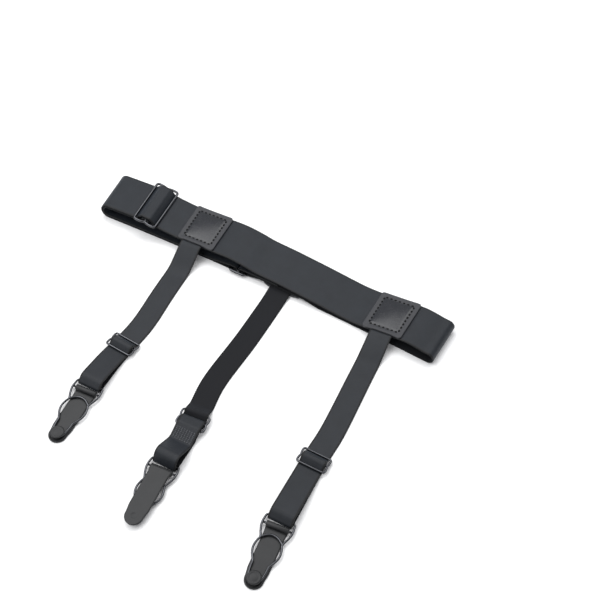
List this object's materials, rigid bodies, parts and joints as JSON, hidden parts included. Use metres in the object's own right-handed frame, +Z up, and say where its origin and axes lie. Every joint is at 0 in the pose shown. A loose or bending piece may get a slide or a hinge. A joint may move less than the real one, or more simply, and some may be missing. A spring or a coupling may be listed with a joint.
{
  "type": "shirt stay",
  "caption": "Shirt stay with an elastic thigh band pressed flat, a wire slider, leather patches and garter straps that end in wire and rubber clips",
  "frame": {"origin": "middle of the rectangle of ground that the lying stay covers, on the ground", "axes": "+X along the flattened thigh band from its slider end to its other fold, +Z up, straps run toward -Y"},
  "size_m": [0.322, 0.279, 0.0205],
  "materials": {
    "webbing": "woven elastic webbing, satin black with fine ribs across it",
    "wire": "black nickel plated steel wire, bright reflections",
    "leather": "black smooth leather, semi gloss, stitched in black thread",
    "rubber": "black moulded rubber, matt"
  },
  "bodies": {
    "root": {"thigh_band": "webbing", "band_slider": "wire", "band_ring": "wire", "patch_a": "leather", "patch_b": "leather", "patch_c": "leather", "strap_1": "webbing", "strap_slider_1": "wire", "clip_frame_1": "wire", "clip_tongue_1": "rubber", "strap_2": "webbing", "strap_slider_2": "wire", "clip_frame_2": "wire", "clip_tongue_2": "rubber", "strap_3": "webbing", "strap_slider_3": "wire", "clip_frame_3": "wire", "clip_tongue_3": "rubber"}
  },
  "joints": []
}
